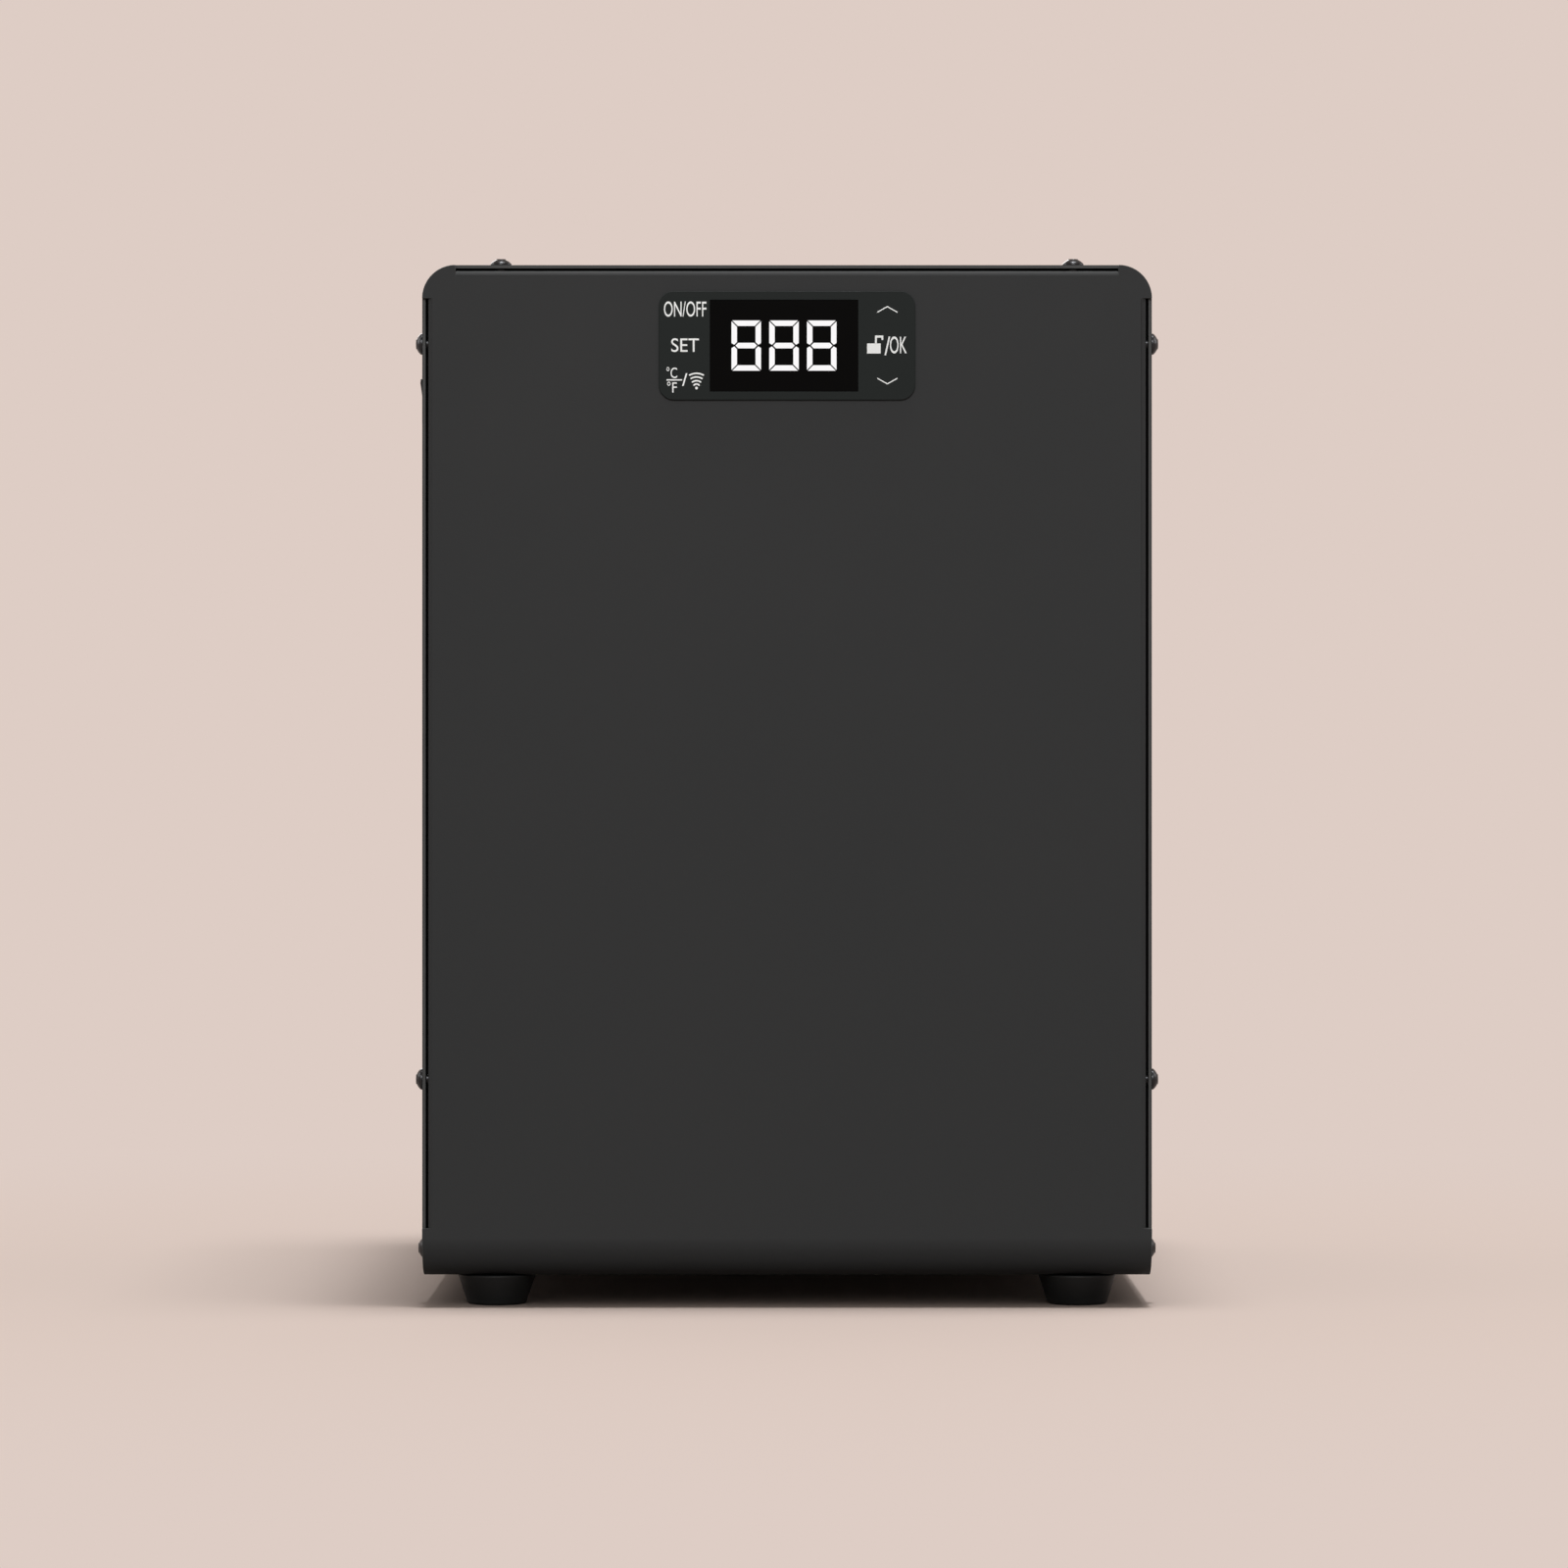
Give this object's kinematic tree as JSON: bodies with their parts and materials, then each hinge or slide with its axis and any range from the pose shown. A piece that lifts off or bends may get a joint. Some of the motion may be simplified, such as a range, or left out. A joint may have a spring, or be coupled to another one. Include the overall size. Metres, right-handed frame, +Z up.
{
  "type": "filament dryer box",
  "caption": "Closed sheet-metal drying cabinet on rubber feet, with a touch display in front, a hinged lid over spool rollers, a fan heater, a desiccant drawer and rear filament outlets.",
  "frame": {"origin": "middle of the bounding box at the floor, under the rubber feet", "axes": "+X to the right seen from the front, +Y from the front to the back, +Z up"},
  "size_m": [0.2444, 0.2768, 0.3496],
  "materials": {
    "sheet": "fine matt black powder coat",
    "panel": "satin black touch film",
    "display": "gloss black display face",
    "digits": "lit white display bars",
    "rubber": "matt black rubber",
    "black_screw": "black oxide",
    "steel": "zinc plated",
    "brass": "plain",
    "aluminium": "mill finish",
    "black_plastic": "fine texture",
    "grey_plastic": "satin",
    "white_plastic": "satin",
    "board": "green solder mask",
    "parts": "moulded cases",
    "winding": "taped winding",
    "foam": "closed-cell foam",
    "seal": "silicone",
    "window": "smoked clear sheet",
    "lead_black": "cable sheath",
    "lead_red": "cable sheath",
    "lead_grey": "cable sheath",
    "beads": "orange drying beads",
    "copper_black": "phenolic"
  },
  "bodies": {
    "cabinet": {"front_base_panel": "sheet", "cover_shell": "sheet", "rear_panel": "sheet", "rubber_feet": "rubber", "button_screws": "black_screw", "captive_nuts": "steel", "touch_panel": "panel", "display_module": "display", "display_digits": "digits", "filament_outlets": "black_plastic", "control_board": "board", "board_standoffs": "brass", "small_screws": "steel", "switch_housing": "black_plastic", "mains_inlet": "black_plastic", "inlet_pins": "brass", "power_board": "board", "power_transformer": "winding", "power_parts": "parts", "earth_stud": "brass", "mains_leads": "lead_black", "switch_leads": "lead_red", "heater_fan_leads": "lead_grey", "board_cable": "lead_grey", "chamber_tub": "aluminium", "chamber_rear_wall": "aluminium", "tub_posts": "steel", "insulation_slabs": "foam", "chamber_rim": "black_plastic", "lid_gasket": "seal", "axle_brackets": "black_plastic", "roller_axles": "steel", "axle_spacers": "white_plastic", "humidity_sensor": "white_plastic", "fan_frame": "black_plastic", "ptc_heater": "aluminium", "heater_duct": "steel", "thermal_cutout": "copper_black", "drawer_sleeve": "steel", "lid_magnets": "steel", "hinge_fixed_leaves": "black_screw", "hinge_pins": "steel"},
    "lid": {"lid_frame": "sheet", "lid_window": "window", "lid_pull_cup": "black_plastic", "lid_strikes": "steel", "hinge_moving_leaves": "black_screw", "lid_screws": "steel"},
    "rocker": {"switch_rocker": "display"},
    "fan": {"fan_rotor": "grey_plastic"},
    "vent": {"vent_shutter": "sheet"},
    "drawer": {"desiccant_drawer": "black_plastic", "desiccant_bed": "beads"},
    "fuse_holder": {"fuse_drawer": "grey_plastic"},
    "roller_1": {"spool_roller_1": "grey_plastic"},
    "roller_2": {"spool_roller_2": "grey_plastic"},
    "roller_3": {"spool_roller_3": "grey_plastic"},
    "roller_4": {"spool_roller_4": "grey_plastic"},
    "roller_5": {"spool_roller_5": "grey_plastic"},
    "roller_6": {"spool_roller_6": "grey_plastic"}
  },
  "joints": [
    {"name": "lid_hinge", "type": "hinge", "parent": "cabinet", "child": "lid", "pos_m": [0, 0.1154, 0.3464], "axis": [-1, 0, 0], "range_deg": [0, 100]},
    {"name": "power_rocker", "type": "hinge", "parent": "cabinet", "child": "rocker", "pos_m": [-0.118, -0.1116, 0.3], "axis": [0, 1, 0], "range_deg": [0, 8]},
    {"name": "fan_spin", "type": "hinge", "parent": "cabinet", "child": "fan", "pos_m": [0, 0.0379, 0.0651], "axis": [0, 1, 0], "continuous": true},
    {"name": "vent_slide", "type": "slide", "parent": "cabinet", "child": "vent", "axis": [1, 0, 0], "range_m": [0, 0.0045]},
    {"name": "drawer_slide", "type": "slide", "parent": "cabinet", "child": "drawer", "axis": [0, 1, 0], "range_m": [0, 0.1]},
    {"name": "fuse_slide", "type": "slide", "parent": "cabinet", "child": "fuse_holder", "axis": [0, 1, 0], "range_m": [0, 0.014]},
    {"name": "roller_1_spin", "type": "hinge", "parent": "cabinet", "child": "roller_1", "pos_m": [-0.06933, -0.0406, 0.124], "axis": [1, 0, 0], "continuous": true},
    {"name": "roller_2_spin", "type": "hinge", "parent": "cabinet", "child": "roller_2", "pos_m": [0, -0.0406, 0.124], "axis": [1, 0, 0], "continuous": true},
    {"name": "roller_3_spin", "type": "hinge", "parent": "cabinet", "child": "roller_3", "pos_m": [0.06933, -0.0406, 0.124], "axis": [1, 0, 0], "continuous": true},
    {"name": "roller_4_spin", "type": "hinge", "parent": "cabinet", "child": "roller_4", "pos_m": [-0.06933, 0.0594, 0.124], "axis": [1, 0, 0], "continuous": true},
    {"name": "roller_5_spin", "type": "hinge", "parent": "cabinet", "child": "roller_5", "pos_m": [0, 0.0594, 0.124], "axis": [1, 0, 0], "continuous": true},
    {"name": "roller_6_spin", "type": "hinge", "parent": "cabinet", "child": "roller_6", "pos_m": [0.06933, 0.0594, 0.124], "axis": [1, 0, 0], "continuous": true}
  ]
}
